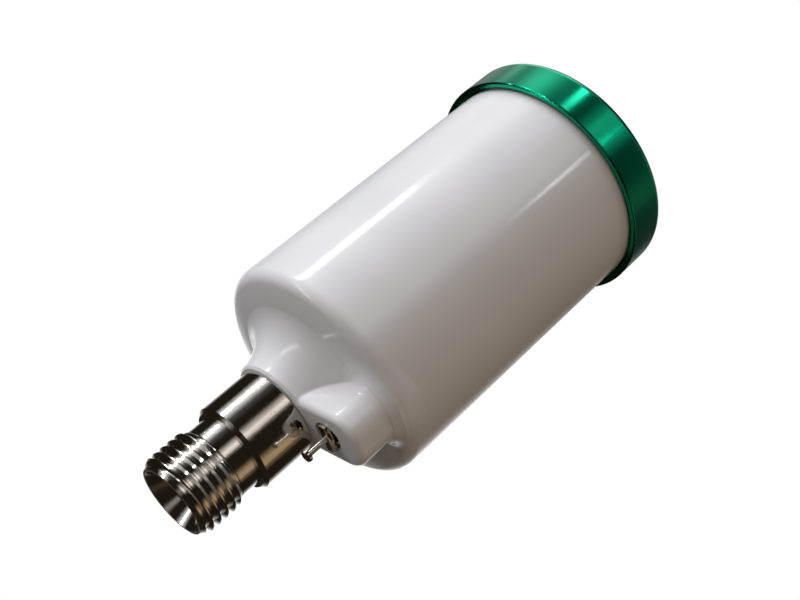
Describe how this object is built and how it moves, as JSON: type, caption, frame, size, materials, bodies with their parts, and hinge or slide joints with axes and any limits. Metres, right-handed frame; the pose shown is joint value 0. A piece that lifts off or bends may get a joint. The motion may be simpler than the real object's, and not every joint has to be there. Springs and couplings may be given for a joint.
{
  "type": "gravity-feed paint cup",
  "caption": "Small gravity-feed cup for a spray gun: white cup, plated threaded connector, green screw lid and a spring-loaded air valve underneath.",
  "frame": {"origin": "on the cup's axis, on the connector collar's lower face, which seats on the gun", "axes": "+Z along the cup's axis towards the lid, +X towards the air valve in the lug"},
  "size_m": [0.04, 0.04, 0.0872],
  "materials": {
    "white_nylon": "glossy moulded",
    "plated_brass": "bright nickel or chrome plate",
    "green_anodised": "satin-gloss green anodised",
    "liner_plastic": "matt moulded",
    "black_rubber": "smooth",
    "brass": "turned",
    "spring_steel": "drawn wire",
    "cage_plastic": "matt moulded",
    "mesh_nylon": "fine woven mesh"
  },
  "bodies": {
    "cup": {"cup_body": "white_nylon", "connector": "plated_brass", "connector_o_ring": "black_rubber", "strainer_frame": "cage_plastic", "strainer_mesh": "mesh_nylon", "valve_insert": "plated_brass", "valve_core_plug": "plated_brass", "valve_core_barrel": "brass", "valve_core_gasket": "black_rubber", "valve_spring": "spring_steel"},
    "lid_seal": {"lid_liner": "liner_plastic", "lid_gasket": "black_rubber"},
    "lid": {"lid_shell": "green_anodised"},
    "valve_plunger": {"valve_pin": "plated_brass", "poppet_cup": "brass", "poppet_seal": "black_rubber"}
  },
  "joints": [
    {"name": "lid_lift", "type": "slide", "parent": "cup", "child": "lid_seal", "axis": [0, 0, 1], "range_m": [0, 0.0131]},
    {"name": "lid_turn", "type": "hinge", "parent": "lid_seal", "child": "lid", "pos_m": [0, 0, 0.0732], "axis": [0, 0, 1], "range_deg": [0, 1170]},
    {"name": "valve_press", "type": "slide", "parent": "cup", "child": "valve_plunger", "axis": [0, 0, 1], "range_m": [0, 0.0015], "stiffness_N_per_m": 600, "springref_m": -0.0015, "deforming": ["valve_spring"]}
  ],
  "couplings": [
    {"joint": "lid_lift", "follows": "lid_turn", "m_per_rad": 0.00063662}
  ]
}
